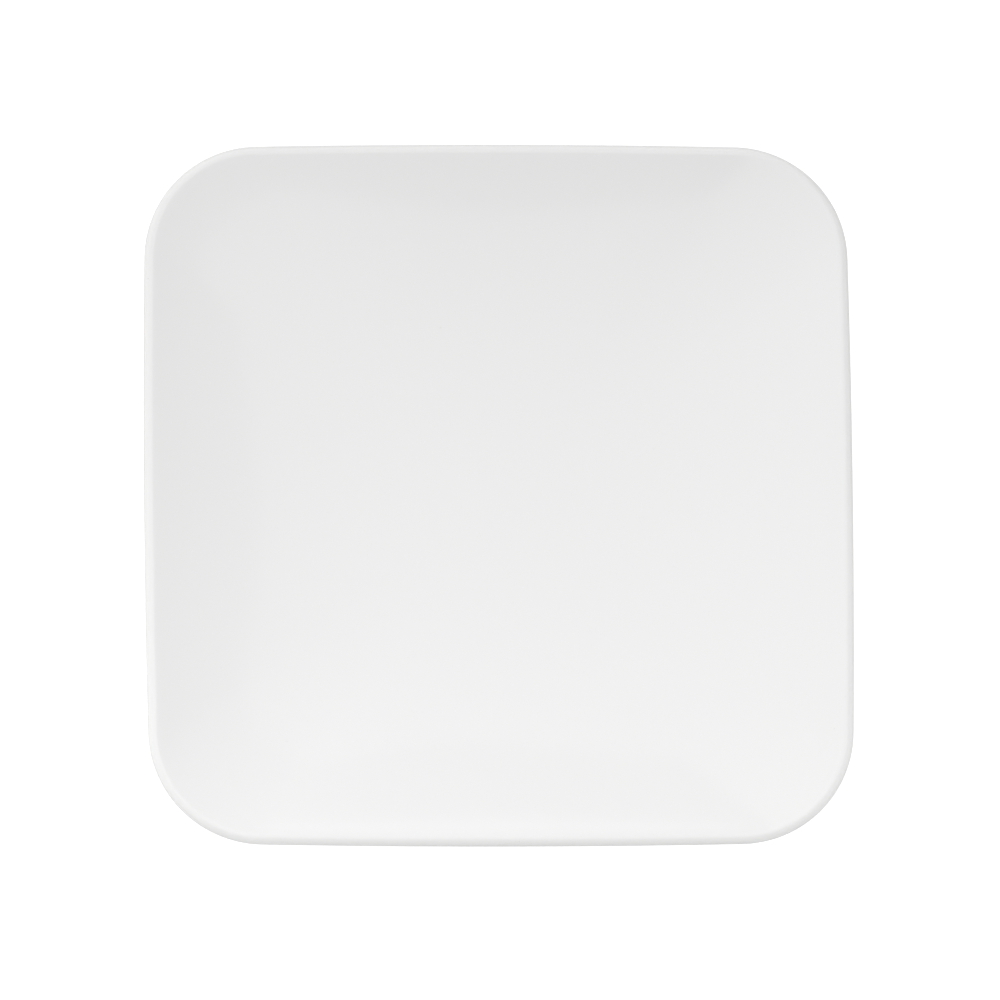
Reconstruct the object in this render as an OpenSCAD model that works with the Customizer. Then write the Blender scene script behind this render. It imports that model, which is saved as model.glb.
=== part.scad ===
// Square dinner plate with a coupe bowl: a white porcelain body that stands on an unglazed foot ring,
// and the glass-hard glaze that covers the rest of it.
// The frame's origin is the middle of the standing face, with +Z up and each side square to X or Y.

/* [Plate] */
// Width of the glazed plate, across the middles of two opposite sides
plate_w = 260; // [220:5:320]
// Height of the rim above the table
plate_h = 26; // [22:1:34]
// Radius of the four corners, seen from above
corner_r = 42; // [28:1:64]
// How far the middle of each side bows outward
side_bow_h = 1.8; // [0.6:0.2:6]

/* [Wall] */
// Thickness of the glazed wall, and so of its round lip
wall_t = 5.4; // [4.4:0.2:7]
// Angle at which the wall meets the lip, in the middle of a side
rim_rise = 21; // [16:1:30]
// Thickness of the glaze
glaze_t = 0.3; // [0.15:0.05:0.6]

/* [Foot ring] */
// Width over the standing face, across the middles of two opposite sides
foot_w = 152; // [120:2:176]
// Width of the foot ring where it meets the table, its rounded edges included
foot_t = 4.2; // [3:0.2:7]
// Clear height between the table and the middle of the base
foot_h = 3; // [2:0.2:5]
// How far each flank of the ring spreads on its way up to the base
foot_lean_w = 1.2; // [0.4:0.2:2.4]
// Size of the hollow bend where each flank runs into the base
foot_bend_r = 2.2; // [1:0.2:3]
// Size of the rounding at the ring's two bottom edges
foot_edge_r = 0.8; // [0.4:0.1:1]
// Height of the bare clay, from the table up to the edge of the glaze
bare_h = 1.4; // [1.2:0.1:2]

/* [Hidden] */

// Facets along one side and round one corner
side_facets = 8;
corner_facets = 10;
// Facets from the top of the lip to its outermost line, and from there to the underside
crest_facets = 3;
lip_under_facets = 2;
// Facets in each hollow bend and each rounded edge of the foot ring
bend_facets = 3;
round_facets = 2;

// Where the rings of points lie, as shares of the way from the middle out to the lip
bowl_shares = [0.16, 0.3, 0.43, 0.55, 0.66, 0.76, 0.85, 0.93];
underside_shares = [0.93, 0.85, 0.77, 0.7];
base_shares = [0.42, 0.28, 0.14];

clay_t = wall_t - 2 * glaze_t;
half_w = plate_w / 2;

// The outline is four shallow arcs, each with its centre on an axis, and a corner arc between each two that
// touches both
side_r = (half_w * half_w + side_bow_h * side_bow_h) / (2 * side_bow_h);
side_centre = half_w - side_r;
corner_centre = (side_centre + sqrt(2 * pow(side_r - corner_r, 2) - pow(side_centre, 2))) / 2;
side_turn = atan2(corner_centre, corner_centre - side_centre);

// The middle of the wall's thickness: its height in the base and in the lip, and how it climbs between them
mid_low = foot_h + wall_t / 2;
mid_high = plate_h - wall_t / 2;
climb = mid_high - mid_low;
reach = half_w - wall_t / 2;
climb_power = reach * tan(rim_rise) / climb;

function turned(p, a) = [p.x * cos(a) - p.y * sin(a), p.x * sin(a) + p.y * cos(a)];
function raised(p, z) = [p.x, p.y, z];

// Directions that the outline faces, once around from the start of the +X side, and its points
quarter_angles = concat(
    [for (i = [0:side_facets - 1]) side_turn * (2 * i / side_facets - 1)],
    [for (i = [0:corner_facets - 1]) side_turn + (90 - 2 * side_turn) * i / corner_facets]);
function on_side(a) = [side_centre + side_r * cos(a), side_r * sin(a)];
function on_corner(a) = [corner_centre + corner_r * cos(a), corner_centre + corner_r * sin(a)];
quarter = [for (i = [0:len(quarter_angles) - 1])
    i < side_facets ? on_side(quarter_angles[i]) : on_corner(quarter_angles[i])];
facing = [for (q = [0:3]) each [for (a = quarter_angles) [cos(a + 90 * q), sin(a + 90 * q)]]];
outline = [for (q = [0:3]) each [for (p = quarter) turned(p, 90 * q)]];
count = len(outline);

// The line along the middle of the lip's thickness, as distances and directions from the plate's middle
lip_line = outline - facing * wall_t / 2;
far = [for (p = lip_line) norm(p)];
ray = [for (p = lip_line) p / norm(p)];

// Contours of the bowl are circles in the middle and grow into the outline of the lip.
// Share s is 0 in the middle and 1 on the lip line, and k counts points around the plate.
function square_share(s) = s * s * (2 - s * s);
function square_growth_share(s) = 4 * s * (1 - s * s);
function span(k, s) = reach + (far[k] - reach) * square_share(s);
function contour(k, s) = ray[k] * s * span(k, s);
function contour_facing(k, s) =
    let (m = square_share(s) * far[k] / span(k, s), along = (facing[k] * ray[k]) * ray[k])
    let (v = m * facing[k] + (1 - m) * along) v / norm(v);
function slope(k, s) =
    let (spread = span(k, s) + s * square_growth_share(s) * (far[k] - reach))
    climb * climb_power * pow(s, climb_power - 1) / (spread * (ray[k] * contour_facing(k, s)));

// A point of the wall's upper (side 1) or lower (side -1) face, under a coat of thickness coat
function wall_z(k, s, side, coat) =
    mid_low + climb * pow(s, climb_power) + side * (clay_t / 2 + coat) * sqrt(1 + pow(slope(k, s), 2));
function wall_ring(s, side, coat) =
    [for (k = [0:count - 1]) raised(contour(k, s), wall_z(k, s, side, coat))];
function wall_rings(shares, side, coat) = [for (s = shares) wall_ring(s, side, coat)];
function wall_pole(side, coat) = [0, 0, mid_low + side * (clay_t / 2 + coat)];

// The lip is a half round about the lip line, turned so that it runs on from both faces of the wall
function lip_angles(rise) = concat([90 + rise], [for (i = [0:crest_facets]) 90 - 90 * i / crest_facets],
    [for (i = [1:lip_under_facets]) (rise - 90) * i / lip_under_facets]);
function lip_point(k, i, coat) =
    let (a = lip_angles(atan(slope(k, 1)))[i], r = clay_t / 2 + coat)
    raised(lip_line[k] + r * cos(a) * facing[k], mid_high + r * sin(a));
function lip_rings(coat) =
    [for (i = [0:len(lip_angles(0)) - 1]) [for (k = [0:count - 1]) lip_point(k, i, coat)]];

// A section through the foot ring is drawn in [d, z], where d runs outward from the clay's outer bottom edge.
// The outer flank is side 1 and the inner one side -1.
foot_share = foot_w / 2 / reach;
function foot_d(side, run) = (side > 0 ? 0 : -foot_t) + side * run;
function under_base(k, side, run, coat) =
    let (d = foot_d(side, run)) [d, wall_z(k, foot_share, -1, coat) + slope(k, foot_share) * d];
function flank_top(k, side, coat) = under_base(k, side, foot_lean_w + coat, coat);
function flank_bottom(side, coat) = [foot_d(side, coat), 0];
function flank_at(k, side, z, coat) =
    let (b = flank_bottom(side, coat), t = flank_top(k, side, coat)) b + (t - b) * z / t.y;
function toward(a, b, length) = a + (b - a) / norm(b - a) * length;
function curve(a, b, c, share) =
    pow(1 - share, 2) * a + 2 * share * (1 - share) * b + pow(share, 2) * c;
function bend_point(k, side, share, coat) =
    let (t = flank_top(k, side, coat), start = under_base(k, side, foot_lean_w + coat + foot_bend_r, coat))
    curve(start, t, toward(t, flank_bottom(side, coat), foot_bend_r), share);
function round_point(k, side, share) =
    let (b = flank_bottom(side, 0))
    curve(toward(b, flank_top(k, side, 0), foot_edge_r), b, [foot_d(side, -foot_edge_r), 0], share);
function foot_point(k, p) = raised(contour(k, foot_share) + p.x * contour_facing(k, foot_share), p.y);

// Rings of the foot ring, in order from the base to the table on side 1 and back up on side -1
function in_order(side, i, facets) = side > 0 ? i / facets : 1 - i / facets;
function bend_rings(side, coat) = [for (i = [0:bend_facets])
    [for (k = [0:count - 1]) foot_point(k, bend_point(k, side, in_order(side, i, bend_facets), coat))]];
function round_rings(side) = [for (i = [0:round_facets])
    [for (k = [0:count - 1]) foot_point(k, round_point(k, side, in_order(side, i, round_facets)))]];
function glaze_edge_ring(side, coat) =
    [for (k = [0:count - 1]) foot_point(k, flank_at(k, side, bare_h + coat, coat))];

// The two surfaces that the glaze covers, under a coat of thickness coat: the outer one runs from the middle of
// the bowl over the lip and down to the foot, and the other from inside the foot to the middle of the base
function outer_rings(coat) = concat(wall_rings(bowl_shares, 1, coat), lip_rings(coat),
    wall_rings(underside_shares, -1, coat), bend_rings(1, coat), [glaze_edge_ring(1, coat)]);
function base_rings(coat) =
    concat([glaze_edge_ring(-1, coat)], bend_rings(-1, coat), wall_rings(base_shares, -1, coat));

// Faces between two rings of points, numbered from first and second, and from a ring to a single point
function band(first, second) = [for (k = [0:count - 1]) let (l = (k + 1) % count)
    each [[first + k, second + l, second + k], [first + k, first + l, second + l]]];
function bands(first, rings) =
    [for (i = [0:rings - 2]) each band(first + i * count, first + (i + 1) * count)];
function fan(point, ring) = [for (k = [0:count - 1]) [point, ring + (k + 1) % count, ring + k]];
function reversed(faces) = [for (f = faces) [f[2], f[1], f[0]]];
function flat_list(rings) = [for (r = rings) each r];

// The fired clay: bowl, lip, underside and foot ring in one piece
module porcelain_body() {
    rings = concat(outer_rings(0), round_rings(1), round_rings(-1), base_rings(0));
    last = 1 + count * (len(rings) - 1);
    color("linen")
        polyhedron(
            points = concat([wall_pole(1, 0)], flat_list(rings), [wall_pole(-1, 0)]),
            faces = concat(fan(0, 1), bands(1, len(rings)), reversed(fan(last + count, last))));
}

// The glaze over the bowl, lip, underside and outer flank of the foot, down to its edge above the table
module outer_glaze() {
    rings = len(outer_rings(0));
    inside = 1 + count * rings;
    color("white")
        polyhedron(
            points = concat([wall_pole(1, glaze_t)], flat_list(outer_rings(glaze_t)),
                flat_list(outer_rings(0)), [wall_pole(1, 0)]),
            faces = concat(fan(0, 1), bands(1, rings), band(inside - count, inside + count * (rings - 1)),
                reversed(bands(inside, rings)), reversed(fan(inside + count * rings, inside))));
}

// The glaze inside the foot ring, from its edge on the inner flank to the middle of the base
module base_glaze() {
    rings = len(base_rings(0));
    inside = count * rings + 1;
    color("whitesmoke")
        polyhedron(
            points = concat(flat_list(base_rings(glaze_t)), [wall_pole(-1, glaze_t)],
                flat_list(base_rings(0)), [wall_pole(-1, 0)]),
            faces = concat(bands(0, rings), reversed(fan(inside - 1, count * (rings - 1))), band(inside, 0),
                reversed(bands(inside, rings)), fan(inside + count * rings, inside + count * (rings - 1))));
}

porcelain_body();
outer_glaze();
base_glaze();
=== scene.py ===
# %% [markdown]
# # A square dinner plate
# This lesson dresses a white porcelain plate that is already built to size. The plate arrives as three solids: the
# fired clay and two coats of glaze. They are exact, but their faces are flat and wide, and a glossy glaze shows
# every flat face as a crease in its reflections. So the rule that shaped the solids is written again here as
# Geometry Nodes, with far finer steps, and then the finishes, the camera, the floor and the lamps follow.

# %% Load the plate's solids as a fixed frame
import math

import bmesh
import bpy
from mathutils import Matrix, Vector


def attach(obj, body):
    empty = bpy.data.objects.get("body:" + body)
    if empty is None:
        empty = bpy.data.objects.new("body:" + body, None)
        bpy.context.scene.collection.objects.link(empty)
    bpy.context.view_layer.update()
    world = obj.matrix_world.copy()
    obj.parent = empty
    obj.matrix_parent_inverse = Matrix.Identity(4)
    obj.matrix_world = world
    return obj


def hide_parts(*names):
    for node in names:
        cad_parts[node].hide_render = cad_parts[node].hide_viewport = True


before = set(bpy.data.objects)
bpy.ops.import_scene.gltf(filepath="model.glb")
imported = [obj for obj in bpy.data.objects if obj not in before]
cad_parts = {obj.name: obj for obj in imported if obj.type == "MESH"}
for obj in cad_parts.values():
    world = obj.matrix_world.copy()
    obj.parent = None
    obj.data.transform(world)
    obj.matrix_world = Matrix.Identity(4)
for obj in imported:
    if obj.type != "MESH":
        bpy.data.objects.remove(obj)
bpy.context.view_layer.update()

scene = bpy.context.scene

# %% [markdown]
# ## The sizes
# Everything is in metres, with the middle of the standing face at the origin and +Z up. A potter would give these
# sizes for a plate of this kind: how wide and high it is, how round its corners are, how thick the wall and the
# glaze are, and how the foot ring is cut. The last two say how finely the surface is stepped round the plate, and
# they are whole numbers because a step is one column of points.

# %% Sizes of the plate
PLATE_SIZES = {
    "plate width": 0.260,
    "plate height": 0.026,
    "corner radius": 0.042,
    "side bow": 0.0018,
    "wall thickness": 0.0054,
    "rim rise": math.radians(21),
    "glaze thickness": 0.0003,
    "foot width": 0.152,
    "foot thickness": 0.0042,
    "foot height": 0.003,
    "foot lean": 0.0012,
    "foot bend": 0.0022,
    "foot edge": 0.0008,
    "bare height": 0.0014,
    "side steps": 24,
    "corner steps": 32,
}
for name, size in PLATE_SIZES.items():
    print(f"{name}: {size:.4f}" if isinstance(size, float) else f"{name}: {size}")

# %% [markdown]
# ## Formulas as nodes
# A formula with thirty terms is hard to read as a picture of nodes, and slow to wire by hand. The small class below
# lets a formula be written as ordinary maths: each +, -, * or / on a `Field` adds one Math or Vector Math node and
# wires it. The result is the same node tree that a person would wire, and it can still be opened and changed.

# %% A node, and a value fed into one of its sockets
def add_node(tree, kind, **settings):
    """Adds a node, in columns of nine so that the tree can be read."""
    node = tree.nodes.new(kind)
    column, row = divmod(len(tree.nodes) - 1, 9)
    node.location = (200 * column, -220 * row)
    for setting, value in settings.items():
        setattr(node, setting, value)
    return node


def feed(tree, socket, value):
    """Wires a field into a socket, or writes a plain value there."""
    if isinstance(value, Field):
        tree.links.new(socket, value.socket)
    else:
        socket.default_value = value


# %% A field is one output of a node, with arithmetic
class Field:
    """A number, a direction or a colour that varies over the points of a shape."""

    def __init__(self, socket):
        self.socket = socket
        self.tree = socket.id_data
        self.is_vector = socket.type == "VECTOR"

    def __add__(self, other): return arithmetic("ADD", self, other)
    def __radd__(self, other): return arithmetic("ADD", other, self)
    def __sub__(self, other): return arithmetic("SUBTRACT", self, other)
    def __rsub__(self, other): return arithmetic("SUBTRACT", other, self)
    def __mul__(self, other): return arithmetic("MULTIPLY", self, other)
    def __rmul__(self, other): return arithmetic("MULTIPLY", other, self)
    def __truediv__(self, other): return arithmetic("DIVIDE", self, other)
    def __rtruediv__(self, other): return arithmetic("DIVIDE", other, self)


def tree_of(terms):
    return next(term.tree for term in terms if isinstance(term, Field))


def maths(operation, *terms):
    """One Math node: works on numbers."""
    tree = tree_of(terms)
    node = add_node(tree, "ShaderNodeMath", operation=operation)
    for socket, term in zip(node.inputs, terms):
        feed(tree, socket, term)
    return Field(node.outputs[0])


def vector_maths(operation, *terms):
    """One Vector Math node: works on directions and places."""
    tree = tree_of(terms)
    node = add_node(tree, "ShaderNodeVectorMath", operation=operation)
    sockets = (node.inputs[0], node.inputs["Scale"]) if operation == "SCALE" else node.inputs
    for socket, term in zip(sockets, terms):
        feed(tree, socket, term)
    gives_number = operation in ("DOT_PRODUCT", "LENGTH")
    return Field(node.outputs["Value" if gives_number else "Vector"])


def arithmetic(operation, a, b):
    """Picks the kind of node that suits its two terms. A direction times a number is scaled by it."""
    a_vector = isinstance(a, Field) and a.is_vector
    b_vector = isinstance(b, Field) and b.is_vector
    if operation == "MULTIPLY" and a_vector != b_vector:
        return vector_maths("SCALE", *((a, b) if a_vector else (b, a)))
    return (vector_maths if a_vector or b_vector else maths)(operation, a, b)


# %% The few functions that the formulas use
def sin(angle): return maths("SINE", angle)
def cos(angle): return maths("COSINE", angle)
def sqrt(value): return maths("SQRT", value)
def atan(value): return maths("ARCTANGENT", value)
def power(base, exponent): return maths("POWER", base, exponent)
def dot(a, b): return vector_maths("DOT_PRODUCT", a, b)
def length(v): return vector_maths("LENGTH", v)
def unit(v): return vector_maths("NORMALIZE", v)
def blend(a, b, share): return a + (b - a) * share


def vector(x, y, z=0.0):
    """Joins three numbers into one place or direction."""
    tree = tree_of((x, y, z))
    node = add_node(tree, "ShaderNodeCombineXYZ")
    for socket, term in zip(node.inputs, (x, y, z)):
        feed(tree, socket, term)
    return Field(node.outputs[0])


def parts_of(place):
    """Splits a place into its three numbers."""
    node = add_node(place.tree, "ShaderNodeSeparateXYZ")
    feed(place.tree, node.inputs[0], place)
    return [Field(socket) for socket in node.outputs]


def ramp(value, start, end):
    """0 before start, 1 after end, and a smooth S between them. Start may be the larger one."""
    node = add_node(value.tree, "ShaderNodeMapRange", interpolation_type="SMOOTHSTEP")
    for name, term in (("Value", value), ("From Min", start), ("From Max", end)):
        feed(value.tree, node.inputs[name], term)
    return Field(node.outputs["Result"])


# %% A tree with named inputs, and a group placed inside another tree
SOCKETS = {
    "number": "NodeSocketFloat", "count": "NodeSocketInt", "vector": "NodeSocketVector",
    "mesh": "NodeSocketGeometry", "finish": "NodeSocketMaterial",
}


def new_tree(name, kind, inputs, outputs):
    """A node tree with named sockets. Gives the tree, its input fields by name, and its output node."""
    tree = bpy.data.node_groups.new(name, kind)
    for socket, (socket_kind, default) in inputs.items():
        made = tree.interface.new_socket(name=socket, in_out="INPUT", socket_type=SOCKETS[socket_kind])
        if default is not None:
            made.default_value = default
    for socket, socket_kind in outputs.items():
        tree.interface.new_socket(name=socket, in_out="OUTPUT", socket_type=SOCKETS[socket_kind])
    entry = add_node(tree, "NodeGroupInput")
    given = {socket.name: Field(socket) for socket in entry.outputs if socket.name}
    return tree, given, add_node(tree, "NodeGroupOutput")


def place_group(tree, group, values):
    """Places a group in a tree, feeds it values by input name, and gives its outputs by name."""
    kind = "ShaderNodeGroup" if tree.bl_idname == "ShaderNodeTree" else "GeometryNodeGroup"
    node = add_node(tree, kind, node_tree=group)
    for socket in node.inputs:
        if socket.name in values:
            feed(tree, socket, values[socket.name])
    return {socket.name: Field(socket) for socket in node.outputs}


size_inputs = {
    name: ("count" if isinstance(size, int) else "number", size) for name, size in PLATE_SIZES.items()}
print(len(size_inputs), "named sizes go into each tree")

# %% [markdown]
# ## The form of the plate
# The outline is a rounded square: four shallow arcs and four corner arcs, each touching its neighbours. In the
# middle of the bowl the contours are circles, and on the way out they grow into that outline, as on a pressed
# coupe plate. One group holds this rule. It takes a column, counted round the plate, and a share, which is 0 in
# the middle and 1 on the line along the middle of the lip. It gives the place of that point seen from above, the
# direction outward there, the height of the middle of the wall, and how steeply the wall climbs.

# %% Group: from a column and a share to a place on the plate
def build_plate_form():
    tree, given, result = new_tree(
        "plate form", "GeometryNodeTree",
        {"column": ("number", 0.0), "share": ("number", 1.0), **size_inputs},
        {"place": "vector", "outward": "vector", "middle": "number", "slope": "number", "spread": "number"})
    half, bow, corner = given["plate width"] / 2, given["side bow"], given["corner radius"]
    side_steps, corner_steps = given["side steps"], given["corner steps"]

    # the two arcs of the outline, and the angle at which one hands over to the other
    side_radius = (half * half + bow * bow) / (2 * bow)
    side_centre = half - side_radius
    between_centres = 2 * power(side_radius - corner, 2) - power(side_centre, 2)
    corner_centre = (side_centre + sqrt(between_centres)) / 2
    side_turn = maths("ARCTAN2", corner_centre, corner_centre - side_centre)

    # the column's quarter of the plate, and its place on the outline in that quarter
    quarter_steps = side_steps + corner_steps
    quarter = maths("FLOOR", (given["column"] + 0.5) / quarter_steps)
    step = given["column"] - quarter * quarter_steps
    on_side = maths("LESS_THAN", step, side_steps)
    side_angle = side_turn * (2 * step / side_steps - 1)
    corner_angle = side_turn + (math.pi / 2 - 2 * side_turn) * (step - side_steps) / corner_steps
    angle = blend(corner_angle, side_angle, on_side)
    facing = vector(cos(angle), sin(angle))
    side_place = vector(side_centre, 0.0) + facing * side_radius
    corner_place = vector(corner_centre, corner_centre) + facing * corner
    outline = blend(corner_place, side_place, on_side)

    def turned(v):
        turn = add_node(tree, "ShaderNodeVectorRotate", rotation_type="Z_AXIS")
        feed(tree, turn.inputs["Vector"], v)
        feed(tree, turn.inputs["Angle"], quarter * (math.pi / 2))
        return Field(turn.outputs[0])

    lip_line = turned(outline - facing * (given["wall thickness"] / 2))
    facing = turned(facing)

    # contours: circles in the middle that grow into the outline
    share = given["share"]
    far, ray = length(lip_line), unit(lip_line)
    reach = half - given["wall thickness"] / 2
    squared = share * share
    squareness = squared * (2 - squared)
    span = reach + (far - reach) * squareness
    matched = squareness * far / span
    outward = unit(facing * matched + ray * (dot(facing, ray) * (1 - matched)))

    # the wall: flat in the base, and climbing to the rim's rise at the lip
    low = given["foot height"] + given["wall thickness"] / 2
    climb = given["plate height"] - given["wall thickness"] / 2 - low
    climb_power = reach * maths("TANGENT", given["rim rise"]) / climb
    spread = (span + 4 * squared * (1 - squared) * (far - reach)) * dot(ray, outward)

    feed(tree, result.inputs["place"], ray * (share * span))
    feed(tree, result.inputs["outward"], outward)
    feed(tree, result.inputs["middle"], low + climb * power(share, climb_power))
    feed(tree, result.inputs["slope"], climb * climb_power * power(share, climb_power - 1) / spread)
    feed(tree, result.inputs["spread"], spread)
    return tree


plate_form = build_plate_form()
print("plate form:", len(plate_form.nodes), "nodes,", len(plate_form.links), "links")

# %% [markdown]
# ## The section of the foot ring
# A plate is glazed all over and then wiped clean where it stands, because glaze would fuse it to the kiln shelf.
# The ring's two flanks lean apart on the way up and run into the base through hollow bends, and its bottom edges
# are ground round. A section through the ring is drawn in two numbers: how far outward from the clay's outer
# bottom edge, and how high. Side is 1 for the outer flank and -1 for the inner one, and coat is the thickness of
# glaze over the clay. The group gives the corners that the curves of the next step are drawn between.

# %% Group: the corners of the foot's section
FOOT_CORNERS = ("bend start", "root", "bend end", "glaze edge", "glaze corner", "round start", "bottom", "stand")


def build_foot_section():
    tree, given, result = new_tree(
        "foot section", "GeometryNodeTree",
        {"column": ("number", 0.0), "side": ("number", 1.0), "coat": ("number", 0.0), **size_inputs},
        {**{corner: "vector" for corner in FOOT_CORNERS}, "bend share": "number", "foot share": "number",
         "foot spread": "number"})
    side, coat, bend = given["side"], given["coat"], given["foot bend"]
    foot_share = given["foot width"] / (given["plate width"] - given["wall thickness"])
    foot_spread = place_group(tree, plate_form, {**given, "share": foot_share})["spread"]
    inner_shift = given["foot thickness"] * (1 - side) / 2

    def out(run):
        return run * side - inner_shift

    # the hollow bend starts on the base, which is followed to the root, where base and flank would meet
    bend_out = out(given["foot lean"] + coat + bend)
    bend_share = foot_share + bend_out / foot_spread
    base = place_group(tree, plate_form, {**given, "share": bend_share})
    under = given["wall thickness"] / 2 - given["glaze thickness"] + coat
    bend_height = base["middle"] - under * sqrt(base["slope"] * base["slope"] + 1)
    root_height = bend_height - base["slope"] * side * bend
    root = vector(bend_out - side * bend, root_height)
    bottom = vector(out(coat), 0.0)
    up = unit(root - bottom)

    def on_flank(height):
        return bottom + (root - bottom) * (height / root_height)

    corners = {
        "bend start": vector(bend_out, bend_height),
        "root": root,
        "bend end": root - up * bend,
        "glaze edge": on_flank(given["bare height"] + coat),
        "glaze corner": on_flank(given["bare height"]),
        "round start": bottom + up * given["foot edge"],
        "bottom": bottom,
        "stand": vector(out(-1 * given["foot edge"]), 0.0),
    }
    for corner, place in corners.items():
        feed(tree, result.inputs[corner], place)
    feed(tree, result.inputs["bend share"], bend_share)
    feed(tree, result.inputs["foot share"], foot_share)
    feed(tree, result.inputs["foot spread"], foot_spread)
    return tree


foot_section = build_foot_section()
print("foot section:", len(foot_section.nodes), "nodes for", len(FOOT_CORNERS), "corners")

# %% [markdown]
# ## The surface in strips
# The surface runs from the middle of the base outward, down one flank of the foot and up the other, along the
# underside, over the lip, and back down to the middle of the bowl. Each stretch of it is a Mesh Grid whose columns
# go round the plate and whose rows go along the stretch, and Set Position bends the grid into place. Taken in this
# order, every strip faces away from the clay, so no normals need turning afterwards. Each point also stores how far
# out on the lip it is, from 0 on both faces of the wall to 1 on the lip's outermost line, because glaze runs thin
# there and its finish needs to know.

# %% Strips of one piece
# The sides of the wall and of the foot ring, and the share from which the wall's thickness, measured straight up
# in the dish, turns square to the wall, so that it runs into the lip's half round
LOWER, UPPER = -1, 1
INNER, OUTER = -1, 1
SQUARED_FROM = 0.8


class Strips:
    """Adds strips to the tree of one piece. A coat of 0 is the face of the clay."""

    def __init__(self, tree, given):
        self.tree, self.given = tree, given
        self.columns = 4 * (given["side steps"] + given["corner steps"])
        self.made = []

    def form(self, column, share):
        return place_group(self.tree, plate_form, {**self.given, "column": column, "share": share})

    def section(self, column, side, coat):
        values = {**self.given, "column": column, "side": float(side), "coat": coat}
        return place_group(self.tree, foot_section, values)

    def half_wall(self, coat):
        return self.given["wall thickness"] / 2 - self.given["glaze thickness"] + coat

    def strip(self, rows, stretch, lip=None):
        """stretch(column, t) gives place, outward direction, distance outward and height, for t from 0 to 1."""
        grid = add_node(self.tree, "GeometryNodeMeshGrid")
        feed(self.tree, grid.inputs["Vertices X"], self.columns + 1)
        grid.inputs["Vertices Y"].default_value = rows + 1
        index = Field(add_node(self.tree, "GeometryNodeInputIndex").outputs[0])
        column = maths("FLOOR", (index + 0.5) / (rows + 1))
        t = (index - column * (rows + 1)) / rows
        place, outward, out, height = stretch(column, t)
        move = add_node(self.tree, "GeometryNodeSetPosition")
        self.tree.links.new(move.inputs["Geometry"], grid.outputs["Mesh"])
        feed(self.tree, move.inputs["Position"], place + outward * out + vector(0.0, 0.0, height))
        store = add_node(self.tree, "GeometryNodeStoreNamedAttribute", data_type="FLOAT", domain="POINT")
        store.inputs["Name"].default_value = "lip"
        self.tree.links.new(store.inputs["Geometry"], move.outputs["Geometry"])
        feed(self.tree, store.inputs["Value"], lip(t) if lip else 0.0)
        self.made.append(store.outputs["Geometry"])

    def wall(self, rows, coat, side, start, end):
        """The upper or lower face of the wall. Start and end are shares of the way out, or name the flank of the
        foot at whose bend the face starts or ends."""
        def stretch(column, t):
            first, last = (
                self.section(column, edge[1], coat)["bend share"] if isinstance(edge, tuple) else edge
                for edge in (start, end))
            share = first + (last - first) * t
            at = self.form(column, share)
            lengthening = sqrt(at["slope"] * at["slope"] + 1)
            half = self.half_wall(coat)
            square_to_wall = ramp(share, SQUARED_FROM, 1.0)
            out = square_to_wall * half * at["slope"] / lengthening * -side
            return at["place"], at["outward"], out, at["middle"] + at["slope"] * out + half * lengthening * side
        self.strip(rows, stretch)

    def over_the_lip(self, rows, coat):
        """The half round of the lip, from the wall's lower face to its upper face."""
        def stretch(column, t):
            at = self.form(column, 1.0)
            angle, half = atan(at["slope"]) + (t - 0.5) * math.pi, self.half_wall(coat)
            return at["place"], at["outward"], half * cos(angle), at["middle"] + half * sin(angle)
        self.strip(rows, stretch, lip=lambda t: sin(t * math.pi))

    def foot(self, rows, *corners):
        """A line between two corners of the foot's section, or a curve drawn by three: (side, coat, corner)."""
        def stretch(column, t):
            sections = {(side, coat): self.section(column, side, coat) for side, coat, _ in corners}
            points = [sections[side, coat][corner] for side, coat, corner in corners]
            while len(points) > 1:
                points = [blend(a, b, t) for a, b in zip(points, points[1:])]
            out, height, _ = parts_of(points[0])
            section = next(iter(sections.values()))
            at = self.form(column, section["foot share"] + out / section["foot spread"])
            return at["place"], at["outward"], 0.0, height
        self.strip(rows, stretch)

    def joined(self):
        """Gives the strips made since the last call as one mesh."""
        join = add_node(self.tree, "GeometryNodeJoinGeometry")
        for strip in self.made:
            self.tree.links.new(join.inputs[0], strip)
        self.made = []
        return join.outputs[0]


# %% The whole tree of a piece, from its outer strips and its inner, turned-round strips
SEAM = 1e-6


def build_piece_tree(name, outside, inside=None):
    """outside and inside are functions that add strips. The inside ones face the other way."""
    tree, given, result = new_tree(
        name, "GeometryNodeTree", {**size_inputs, "finish": ("finish", None)}, {"mesh": "mesh"})
    finish, strips = given.pop("finish"), Strips(tree, given)
    outside(strips, given["glaze thickness"])
    shells = [strips.joined()]
    if inside:
        inside(strips)
        flip = add_node(tree, "GeometryNodeFlipFaces")
        tree.links.new(flip.inputs["Mesh"], strips.joined())
        shells.append(flip.outputs["Mesh"])
    join = add_node(tree, "GeometryNodeJoinGeometry")
    for shell in shells:
        tree.links.new(join.inputs[0], shell)
    last = join.outputs[0]
    for kind, inputs in (
            ("GeometryNodeMergeByDistance", {"Distance": SEAM}),
            ("GeometryNodeSetShadeSmooth", {}),
            ("GeometryNodeRealizeInstances", {}),
            ("GeometryNodeSetMaterial", {"Material": finish})):
        node = add_node(tree, kind)
        for socket, value in inputs.items():
            feed(tree, node.inputs[socket], value)
        tree.links.new(node.inputs[0], last)
        last = node.outputs[0]
    tree.links.new(result.inputs["mesh"], last)
    return tree


# %% [markdown]
# ## Three pieces of one plate
# The clay is one closed surface. Each coat of glaze is a thin closed shell: its outer face lies one glaze thickness
# out, its inner face is the clay's own face turned round, and at the foot it ends in a small rounded bead, as
# melted glass does where it was wiped. The three share the rule and so touch everywhere without a gap.

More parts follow.
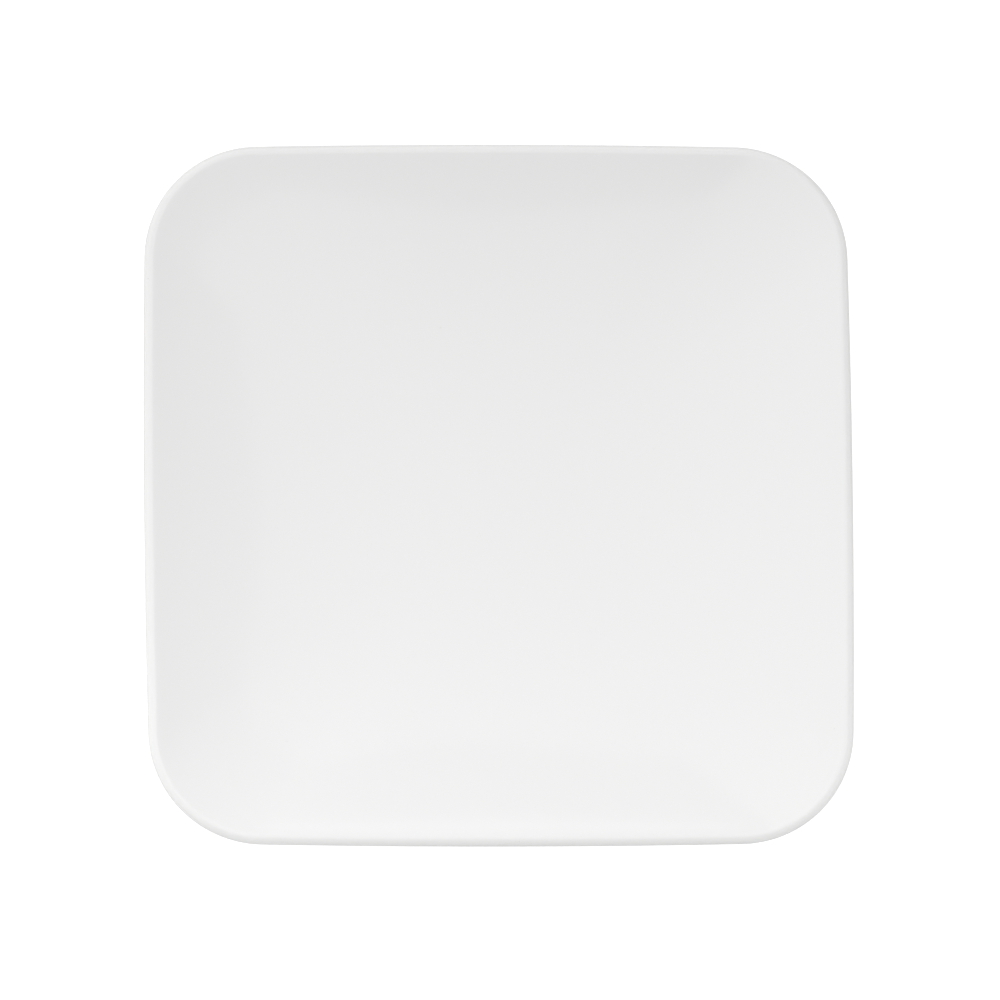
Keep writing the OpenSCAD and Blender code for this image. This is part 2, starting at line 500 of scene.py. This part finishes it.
# %% Rows of facets along each stretch, and corners of the foot's section on one side
# Bare is the clay's own face. The outer face of a coat has more rows, because it is what shows.
BARE = 0.0
BOWL_ROWS, LIP_ROWS, UNDER_ROWS, BEND_ROWS = 36, 16, 24, 6
COAT_BOWL_ROWS, COAT_LIP_ROWS, COAT_UNDER_ROWS, COAT_BEND_ROWS = 44, 24, 28, 8
FLANK_ROWS, GLAZED_FLANK_ROWS, ROUND_ROWS, STAND_ROWS, BEAD_ROWS = 3, 2, 6, 3, 6


def on(side, coat, *corners):
    return [(side, coat, corner) for corner in corners]


# %% Strips of the clay
def clay_outside(strips, _):
    strips.wall(UNDER_ROWS, BARE, LOWER, 0.0, ("bend", INNER))
    strips.foot(BEND_ROWS, *on(INNER, BARE, "bend start", "root", "bend end"))
    strips.foot(FLANK_ROWS, *on(INNER, BARE, "bend end", "round start"))
    strips.foot(ROUND_ROWS, *on(INNER, BARE, "round start", "bottom", "stand"))
    strips.foot(STAND_ROWS, *on(INNER, BARE, "stand"), *on(OUTER, BARE, "stand"))
    strips.foot(ROUND_ROWS, *on(OUTER, BARE, "stand", "bottom", "round start"))
    strips.foot(FLANK_ROWS, *on(OUTER, BARE, "round start", "bend end"))
    strips.foot(BEND_ROWS, *on(OUTER, BARE, "bend end", "root", "bend start"))
    strips.wall(UNDER_ROWS, BARE, LOWER, ("bend", OUTER), 1.0)
    strips.over_the_lip(LIP_ROWS, BARE)
    strips.wall(BOWL_ROWS, BARE, UPPER, 1.0, 0.0)


# %% Strips of the coat over the bowl, the lip and the underside, down to its bead on the outer flank
def glaze_outside(strips, coat):
    strips.foot(BEAD_ROWS, *on(OUTER, BARE, "glaze edge"), *on(OUTER, coat, "glaze corner", "glaze edge"))
    strips.foot(GLAZED_FLANK_ROWS, *on(OUTER, coat, "glaze edge", "bend end"))
    strips.foot(COAT_BEND_ROWS, *on(OUTER, coat, "bend end", "root", "bend start"))
    strips.wall(COAT_UNDER_ROWS, coat, LOWER, ("bend", OUTER), 1.0)
    strips.over_the_lip(COAT_LIP_ROWS, coat)
    strips.wall(COAT_BOWL_ROWS, coat, UPPER, 1.0, 0.0)


def glaze_inside(strips):
    strips.foot(GLAZED_FLANK_ROWS, *on(OUTER, BARE, "glaze edge", "bend end"))
    strips.foot(BEND_ROWS, *on(OUTER, BARE, "bend end", "root", "bend start"))
    strips.wall(UNDER_ROWS, BARE, LOWER, ("bend", OUTER), 1.0)
    strips.over_the_lip(LIP_ROWS, BARE)
    strips.wall(BOWL_ROWS, BARE, UPPER, 1.0, 0.0)


# %% Strips of the coat inside the foot ring
def base_outside(strips, coat):
    strips.wall(COAT_UNDER_ROWS, coat, LOWER, 0.0, ("bend", INNER))
    strips.foot(COAT_BEND_ROWS, *on(INNER, coat, "bend start", "root", "bend end"))
    strips.foot(GLAZED_FLANK_ROWS, *on(INNER, coat, "bend end", "glaze edge"))
    strips.foot(BEAD_ROWS, *on(INNER, coat, "glaze edge", "glaze corner"), *on(INNER, BARE, "glaze edge"))


def base_inside(strips):
    strips.wall(UNDER_ROWS, BARE, LOWER, 0.0, ("bend", INNER))
    strips.foot(BEND_ROWS, *on(INNER, BARE, "bend start", "root", "bend end"))
    strips.foot(GLAZED_FLANK_ROWS, *on(INNER, BARE, "bend end", "glaze edge"))


piece_trees = {
    "fired_clay": build_piece_tree("fired clay", clay_outside),
    "dish_glaze": build_piece_tree("dish glaze", glaze_outside, glaze_inside),
    "base_glaze_coat": build_piece_tree("base glaze coat", base_outside, base_inside),
}
for name, tree in piece_trees.items():
    print(f"{name}: {len(tree.nodes)} nodes")

# %% [markdown]
# ## Effects that the finishes share
# Porcelain looks real through small faults, at the right size. Three effects turn up in more than one finish, so
# each is a shader node group that is built once and placed with its own values. They read places in metres, so
# a size in a group is a size on the plate.

# %% Group: gentle unevenness of a surface, as a height in metres
def noise(place, feature, detail=2.0):
    """Smooth noise from 0 to 1 whose features are about as long as feature, in metres."""
    node = add_node(place.tree, "ShaderNodeTexNoise")
    feed(place.tree, node.inputs["Vector"], place)
    feed(place.tree, node.inputs["Scale"], 1 / feature)
    node.inputs["Detail"].default_value = detail
    return Field(node.outputs[0])


def build_unevenness():
    tree, given, result = new_tree(
        "unevenness", "ShaderNodeTree",
        {"place": ("vector", None), "wave length": ("number", 0.03), "wave height": ("number", 1e-5),
         "peel length": ("number", 0.002), "peel height": ("number", 1e-6)},
        {"height": "number"})
    waves = noise(given["place"], given["wave length"]) * given["wave height"]
    peel = noise(given["place"], given["peel length"]) * given["peel height"]
    feed(tree, result.inputs["height"], waves + peel)
    return tree


unevenness = build_unevenness()

# %% Group: scattered specks or pits, as a mask
def build_specks():
    tree, given, result = new_tree(
        "specks", "ShaderNodeTree",
        {"place": ("vector", None), "cell": ("number", 0.003), "radius": ("number", 0.0001),
         "rarity": ("number", 0.95)},
        {"mask": "number"})
    cells = add_node(tree, "ShaderNodeTexVoronoi")
    feed(tree, cells.inputs["Vector"], given["place"])
    feed(tree, cells.inputs["Scale"], 1 / given["cell"])
    distance = Field(cells.outputs["Distance"]) * given["cell"]
    chance, size, _ = parts_of(Field(cells.outputs["Color"]))
    radius = given["radius"] * blend(0.4, 1.0, size)
    shown = maths("GREATER_THAN", chance, given["rarity"])
    feed(tree, result.inputs["mask"], ramp(distance, radius, radius * 0.4) * shown)
    return tree


specks = build_specks()

# %% Group: soft patches, as a number from 0 to 1
def build_patches():
    tree, given, result = new_tree(
        "soft patches", "ShaderNodeTree",
        {"place": ("vector", None), "size": ("number", 0.03), "sharpness": ("number", 0.15)},
        {"mask": "number"})
    cloud = noise(given["place"], given["size"], detail=4.0)
    feed(tree, result.inputs["mask"], ramp(cloud, 0.5 - given["sharpness"], 0.5 + given["sharpness"]))
    return tree


patches = build_patches()
print("shared effects:", [group.name for group in (unevenness, specks, patches)])

# %% [markdown]
# ## Helpers for a finish
# A finish is a Principled BSDF. Its plain numbers are written on the shader's own sockets, and only what changes
# over the surface is wired in.

# %% A new finish, and a mix of two colours
def new_finish(name, **numbers):
    """A material with a Principled BSDF, whose sockets are named with _ for a space. Gives the material, its tree,
    its shader and the place in metres."""
    material = bpy.data.materials.new(name)
    material.use_nodes = True
    tree = material.node_tree
    shader = tree.nodes["Principled BSDF"]
    for socket, value in numbers.items():
        shader.inputs[socket.replace("_", " ")].default_value = value
    place = Field(add_node(tree, "ShaderNodeTexCoord").outputs["Object"])
    return material, tree, shader, place


def mix_colours(tree, share, first, second):
    """first where share is 0 and second where it is 1."""
    node = add_node(tree, "ShaderNodeMix", data_type="RGBA")
    colour_sockets = [socket for socket in node.inputs if socket.type == "RGBA"]
    feed(tree, node.inputs[0], share)
    for socket, colour in zip(colour_sockets, (first, second)):
        feed(tree, socket, colour if isinstance(colour, Field) else (*colour, 1.0))
    return Field(next(socket for socket in node.outputs if socket.type == "RGBA"))


def bump(tree, shader, height):
    """Feeds a height in metres into the shader's normal."""
    node = add_node(tree, "ShaderNodeBump")
    node.inputs["Strength"].default_value = 1.0
    node.inputs["Distance"].default_value = 1.0
    feed(tree, node.inputs["Height"], height)
    tree.links.new(shader.inputs["Normal"], node.outputs["Normal"])


# %% [markdown]
# ## White glaze over the dish
# The glaze is clear glass over white clay, so it reads as a clean white with a sharp gloss. On the real plate it
# runs thin over the lip, where a little of the clay's warmer tone shows. It dries in faint waves a few centimetres
# long, with a fine peel on top that softens reflections, and it keeps a stray iron speck or a pinhole here and there.

# %% The dish's glaze
GLAZE_WHITE = (0.870, 0.870, 0.868)
GLAZE_THIN = (0.850, 0.847, 0.840)
IRON_GREY = (0.330, 0.310, 0.290)
THIN_AT_LIP = 0.5
IRON_STRENGTH = 0.45
DISH_ROUGHNESS, DISH_WIPED = 0.07, 0.03
PINHOLE_ROUGHNESS, DISH_PINHOLE = 0.25, 4.0e-5


def build_dish_finish():
    material, tree, shader, place = new_finish("white_glaze_over_the_dish", IOR=1.5)
    height = place_group(tree, unevenness, {
        "place": place, "wave length": 0.035, "wave height": 2.0e-5, "peel length": 0.0022, "peel height": 1.0e-6})
    iron = place_group(tree, specks, {"place": place, "cell": 0.002, "radius": 0.00022, "rarity": 0.985})["mask"]
    pins = place_group(tree, specks, {
        "place": place + (0.5, 0.2, 0.1), "cell": 0.0026, "radius": 0.00016, "rarity": 0.975})["mask"]
    wiped = place_group(tree, patches, {"place": place, "size": 0.05, "sharpness": 0.3})["mask"]
    lip = Field(add_node(tree, "ShaderNodeAttribute", attribute_name="lip").outputs["Fac"])
    white = mix_colours(tree, lip * THIN_AT_LIP, GLAZE_WHITE, GLAZE_THIN)
    feed(tree, shader.inputs["Base Color"], mix_colours(tree, iron * IRON_STRENGTH, white, IRON_GREY))
    feed(tree, shader.inputs["Roughness"], wiped * DISH_WIPED + pins * PINHOLE_ROUGHNESS + DISH_ROUGHNESS)
    bump(tree, shader, height["height"] - pins * DISH_PINHOLE)
    return material


dish_finish = build_dish_finish()

# %% [markdown]
# ## White glaze inside the foot ring
# Nobody eats off this side, so the glaze here is left as it came from the kiln: a little thicker, with deeper waves,
# more pinholes, and a trace of kiln dust that settled in it. It is the same white, from the same dip.

# %% The base's glaze
DUST_STRENGTH = 0.4
BASE_ROUGHNESS, BASE_WIPED = 0.10, 0.05
BASE_PINHOLE = 5.0e-5


def build_base_finish():
    material, tree, shader, place = new_finish("white_glaze_under_the_base", IOR=1.5)
    height = place_group(tree, unevenness, {
        "place": place, "wave length": 0.024, "wave height": 4.0e-5, "peel length": 0.0018, "peel height": 2.0e-6})
    dust = place_group(tree, specks, {"place": place, "cell": 0.0016, "radius": 0.00018, "rarity": 0.96})["mask"]
    pins = place_group(tree, specks, {
        "place": place + (0.3, 0.6, 0.2), "cell": 0.0022, "radius": 0.0002, "rarity": 0.93})["mask"]
    wiped = place_group(tree, patches, {"place": place, "size": 0.03, "sharpness": 0.25})["mask"]
    feed(tree, shader.inputs["Base Color"], mix_colours(tree, dust * DUST_STRENGTH, GLAZE_WHITE, IRON_GREY))
    feed(tree, shader.inputs["Roughness"], wiped * BASE_WIPED + pins * PINHOLE_ROUGHNESS + BASE_ROUGHNESS)
    bump(tree, shader, height["height"] - pins * BASE_PINHOLE)
    return material


base_finish = build_base_finish()

# %% [markdown]
# ## Bare ground clay on the standing ring
# Where the glaze was wiped off, hard white porcelain shows bare. It is not glossy but dry and very fine-grained,
# a shade warmer than the glaze. Its bottom edge was ground so that the plate doesn't scratch a table, which leaves
# fine marks that run round the ring. Where it has stood and slid it is a little greyer, and right under the glaze
# line the kiln left a thin warm blush.

# %% The bare clay
CLAY_WHITE = (0.760, 0.728, 0.672)
CLAY_BLUSH = (0.700, 0.600, 0.490)
CLAY_WORN = (0.560, 0.535, 0.500)
GROUND_BELOW = 0.0006
MARK_WIDTH, MARK_DEPTH = 0.00022, 1.0e-5
MARK_STEP = 0.004  # noise crossed in one radian, which is far less than the ring's length, so the marks are long
BLUSH_FROM, BLUSH_FULL, BLUSH_STRENGTH = 0.0008, 0.0015, 0.55
WORN_BY_SMUDGES, WORN_BY_GRINDING = 0.5, 0.3
CLAY_IRON = 0.5
CLAY_ROUGHNESS, CLAY_RUBBED = 0.78, 0.16


def build_clay_finish():
    material, tree, shader, place = new_finish("bare_ground_porcelain", IOR=1.45, Specular_IOR_Level=0.35)
    height = place_group(tree, unevenness, {
        "place": place, "wave length": 0.004, "wave height": 6.0e-6, "peel length": 0.00025, "peel height": 8.0e-6})
    across, along, up = parts_of(place)
    round_ring = maths("ARCTAN2", along, across) * MARK_STEP
    grinding = noise(vector(round_ring, length(place), up), MARK_WIDTH, detail=3.0)
    iron = place_group(tree, specks, {"place": place, "cell": 0.0012, "radius": 0.00014, "rarity": 0.96})["mask"]
    smudged = place_group(tree, patches, {"place": place, "size": 0.009, "sharpness": 0.2})["mask"]
    low = ramp(up, GROUND_BELOW, 0.0)
    under_glaze = ramp(up, BLUSH_FROM, BLUSH_FULL)
    clay = mix_colours(tree, under_glaze * BLUSH_STRENGTH, CLAY_WHITE, CLAY_BLUSH)
    worn = low * (smudged * WORN_BY_SMUDGES + grinding * WORN_BY_GRINDING)
    clay = mix_colours(tree, worn, clay, CLAY_WORN)
    feed(tree, shader.inputs["Base Color"], mix_colours(tree, iron * CLAY_IRON, clay, IRON_GREY))
    feed(tree, shader.inputs["Roughness"], CLAY_ROUGHNESS - low * CLAY_RUBBED * smudged)
    bump(tree, shader, height["height"] + grinding * low * MARK_DEPTH)
    return material


clay_finish = build_clay_finish()
print("finishes:", [finish.name for finish in (dish_finish, base_finish, clay_finish)])

# %% [markdown]
# ## From rule to plain mesh
# A Geometry Nodes modifier is run once and its result kept as an ordinary mesh, because the frame and the export
# work on meshes. The sizes go into the modifier by each socket's identifier before it is first evaluated. Then the
# mesh is tested: a closed skin has two faces at each edge, and its volume is positive only if its faces point out.

# %% Make a piece and test its skin
def skin_of(mesh):
    """Edges that don't have two faces, and the volume in cubic centimetres."""
    skin = bmesh.new()
    skin.from_mesh(mesh)
    bmesh.ops.remove_doubles(skin, verts=skin.verts, dist=SEAM / 10)
    open_edges = sum(len(edge.link_faces) != 2 for edge in skin.edges)
    volume = skin.calc_volume(signed=True) * 1e6
    skin.free()
    return open_edges, volume


def make_piece(name, tree, finish):
    """Runs the tree with the plate's sizes and gives the result as a plain mesh object."""
    piece = bpy.data.objects.new(name, bpy.data.meshes.new(name))
    scene.collection.objects.link(piece)
    rule = piece.modifiers.new("plate rule", "NODES")
    rule.node_group = tree
    values = {**PLATE_SIZES, "finish": finish}
    for item in tree.interface.items_tree:
        if item.in_out == "INPUT":
            rule[item.identifier] = values[item.name]
    depsgraph = bpy.context.evaluated_depsgraph_get()
    mesh = bpy.data.meshes.new_from_object(
        piece.evaluated_get(depsgraph), preserve_all_data_layers=True, depsgraph=depsgraph)
    piece.modifiers.clear()
    piece.data = mesh
    mesh.name = name
    return piece


PIECES = {
    "fired_clay": ("porcelain_body", "bare_porcelain", clay_finish),
    "dish_glaze": ("outer_glaze", "white_glaze", dish_finish),
    "base_glaze_coat": ("base_glaze", "white_glaze", base_finish),
}
for name, (node, slot, finish) in PIECES.items():
    piece = make_piece(name, piece_trees[name], finish)
    open_edges, volume = skin_of(piece.data)
    _, solid_volume = skin_of(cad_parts[node].data)
    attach(piece, "root")
    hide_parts(node)
    triangles = sum(len(face.vertices) - 2 for face in piece.data.polygons)
    print(f"{name}: {triangles} triangles, {open_edges} open edges, {volume:.2f} cm3, solid {solid_volume:.2f} cm3")

# %% [markdown]
# ## The camera
# The photograph looks almost straight down from far away: the plate's far and near sides are the same length in it.
# So the lens is long and the camera is eight metres off, leaning about 9 degrees towards the near side and 4 to
# the left. The camera is aimed at a point by the rim's middle, so that no shift of the lens is needed.

# %% Camera from far above
RIM_MIDDLE = Vector((0.0, 0.0, PLATE_SIZES["plate height"] - PLATE_SIZES["wall thickness"] / 2))
CAMERA_DISTANCE = 8.0
VIEW_WIDTH = 0.36603
LEAN_NEAR, LEAN_LEFT = math.radians(9.0), math.radians(3.82)
AIM_RIGHT, AIM_UP = 0.00044, -0.00190

right = Vector((math.cos(LEAN_LEFT), -math.sin(LEAN_NEAR) * math.sin(LEAN_LEFT),
                math.cos(LEAN_NEAR) * math.sin(LEAN_LEFT)))
up = Vector((0.0, math.cos(LEAN_NEAR), math.sin(LEAN_NEAR)))
back = right.cross(up)
aim = RIM_MIDDLE + right * AIM_RIGHT + up * AIM_UP

camera_data = bpy.data.cameras.new("camera")
camera_data.sensor_width = 36.0
camera_data.lens = camera_data.sensor_width * CAMERA_DISTANCE / VIEW_WIDTH
camera_data.clip_end = 2.5 * CAMERA_DISTANCE
camera = bpy.data.objects.new("camera", camera_data)
scene.collection.objects.link(camera)
camera.matrix_world = Matrix.Translation(aim + back * CAMERA_DISTANCE) @ Matrix(
    (right, up, back)).transposed().to_4x4()
scene.camera = camera
print(f"lens {camera_data.lens:.0f} mm, camera at {tuple(round(c, 3) for c in camera.location)}")

# %% [markdown]
# ## The floor and the white around the plate
# A white plate on white is photographed on a lit white sweep. The floor here is a plain white board that takes the
# plate's shadow. To the camera part of its white is its own glow, so that it comes out as clean white without more
# light on the plate. The glaze reflects only the plain board, which keeps the underside of the lip a shade darker.
# The glow dies away under the plate, where the floor is hemmed in: this painted shadow comes from an ambient
# occlusion test and darkens the floor for the camera on top of its real shadow, so that from low down the plate sits
# in its own shadow. The world lights the scene evenly from all round, and is seen as the same clean white.

# %% Where a ray comes from, as 1 for any of the given kinds and 0 for light itself
def seen_by(tree, *kinds):
    path = add_node(tree, "ShaderNodeLightPath")
    seen = Field(path.outputs[kinds[0]])
    for kind in kinds[1:]:
        seen = maths("MAXIMUM", seen, Field(path.outputs[kind]))
    return seen


# %% Floor
FLOOR_HALF = 6.0
FLOOR_WHITE = (0.80, 0.80, 0.80, 1.0)
FLOOR_DROP = 0.0001
SEEN_WHITE = (0.35, 0.35, 0.35, 1.0)
SEEN_GLOW = 0.86
# Glow left in the painted shadow under the plate, and how far and between which levels its occlusion test reaches
PAINTED_SHADOW_GLOW = 0.40
SHADE_REACH = 0.06
HEMMED_IN, OPEN_AIR = 0.05, 0.40

floor_mesh = bpy.data.meshes.new("floor")
floor_mesh.from_pydata(
    [(x * FLOOR_HALF, y * FLOOR_HALF, -FLOOR_DROP) for x, y in ((-1, -1), (1, -1), (1, 1), (-1, 1))],
    [], [(0, 1, 2, 3)])
floor = bpy.data.objects.new("floor", floor_mesh)
scene.collection.objects.link(floor)
board = bpy.data.materials.new("white_board")
board.use_nodes = True
board.node_tree.nodes.clear()
lit = add_node(board.node_tree, "ShaderNodeBsdfDiffuse")
lit.inputs["Color"].default_value = FLOOR_WHITE
seen_lit = add_node(board.node_tree, "ShaderNodeBsdfDiffuse")
seen_lit.inputs["Color"].default_value = SEEN_WHITE
# Painted shadow: the floor's glow to the camera is dimmed where an ambient occlusion test finds the plate close above
painted_shadow_occlusion = add_node(board.node_tree, "ShaderNodeAmbientOcclusion", samples=8)
painted_shadow_occlusion.inputs["Distance"].default_value = SHADE_REACH
outside_painted_shadow = ramp(Field(painted_shadow_occlusion.outputs["AO"]), HEMMED_IN, OPEN_AIR)
glow = add_node(board.node_tree, "ShaderNodeEmission")
feed(board.node_tree, glow.inputs["Strength"], blend(PAINTED_SHADOW_GLOW, SEEN_GLOW, outside_painted_shadow))
seen_board = add_node(board.node_tree, "ShaderNodeAddShader")
board_mix = add_node(board.node_tree, "ShaderNodeMixShader")
board_out = add_node(board.node_tree, "ShaderNodeOutputMaterial")
feed(board.node_tree, board_mix.inputs[0], seen_by(board.node_tree, "Is Camera Ray"))
for socket, shader in (
        (seen_board.inputs[0], seen_lit), (seen_board.inputs[1], glow), (board_mix.inputs[1], lit),
        (board_mix.inputs[2], seen_board), (board_out.inputs["Surface"], board_mix)):
    board.node_tree.links.new(socket, shader.outputs[0])
floor_mesh.materials.append(board)

# %% World
WORLD_LIGHT = 0.40

world = bpy.data.worlds.new("world")
scene.world = world
world.use_nodes = True
world.node_tree.nodes.clear()
around = add_node(world.node_tree, "ShaderNodeBackground")
around.inputs["Strength"].default_value = WORLD_LIGHT
white = add_node(world.node_tree, "ShaderNodeBackground")
white.inputs["Strength"].default_value = 1.0
for background in (around, white):
    background.inputs["Color"].default_value = (1.0, 1.0, 1.0, 1.0)
world_mix = add_node(world.node_tree, "ShaderNodeMixShader")
world_out = add_node(world.node_tree, "ShaderNodeOutputWorld")
feed(world.node_tree, world_mix.inputs[0], seen_by(
    world.node_tree, "Is Camera Ray", "Is Glossy Ray", "Is Transmission Ray"))
world.node_tree.links.new(world_mix.inputs[1], around.outputs[0])
world.node_tree.links.new(world_mix.inputs[2], white.outputs[0])
world.node_tree.links.new(world_out.inputs["Surface"], world_mix.outputs[0])
scene.view_settings.view_transform = "Standard"

# %% [markdown]
# ## The lamps
# The plate's far wall is darker than its near wall, and the whole near half is a little brighter than the far half.
# So very wide, dim softboxes stand to the left, to the right and behind, and one hangs overhead. They show in the
# glaze: as pale lines along the lip, as a faint patch in the middle of the dish, and as broad soft bands from low
# down. Three more lamps only even out the light and stay out of the glaze: one low at the back left, and two
# small ones close above the near corners.

# %% A soft lamp aimed at the plate
def soft_lamp(name, place, width, height, watts, in_reflections):
    """A flat lamp at the given place, aimed at the plate's middle."""
    lamp_data = bpy.data.lights.new(name, "AREA")
    lamp_data.shape = "RECTANGLE"
    lamp_data.size, lamp_data.size_y, lamp_data.energy = width, height, watts
    lamp = bpy.data.objects.new(name, lamp_data)
    scene.collection.objects.link(lamp)
    lamp.location = place
    lamp.rotation_mode = "QUATERNION"
    lamp.rotation_quaternion = Vector(place).to_track_quat("Z", "Y")
    lamp.visible_camera = False
    lamp.visible_glossy = in_reflections
    print(f"{name}: {watts} W at {tuple(round(c, 2) for c in place)}")


LAMP_DISTANCE = 2.2


def around_plate(azimuth, rise):
    """A place seen from the plate's middle. Azimuth turns from +X towards +Y, and rise is above the floor."""
    a, h = math.radians(azimuth), math.radians(rise)
    return Vector((math.cos(a) * math.cos(h), math.sin(a) * math.cos(h), math.sin(h))) * LAMP_DISTANCE


soft_lamp("overhead_softbox", around_plate(135, 82), 2.0, 2.0, 5.3, in_reflections=True)
soft_lamp("right_softbox", around_plate(0, 26), 3.2, 1.6, 6.7, in_reflections=True)
soft_lamp("back_softbox", around_plate(90, 26), 3.2, 1.6, 10.6, in_reflections=True)
soft_lamp("left_softbox", around_plate(180, 20), 3.2, 1.2, 4.0, in_reflections=True)
soft_lamp("back_left_lamp", around_plate(135, 24), 2.4, 0.7, 12.5, in_reflections=False)
soft_lamp("near_right_lamp", (0.35, -0.25, 0.35), 0.4, 0.4, 0.60, in_reflections=False)
soft_lamp("near_left_lamp", (-0.35, -0.25, 0.35), 0.4, 0.4, 0.75, in_reflections=False)
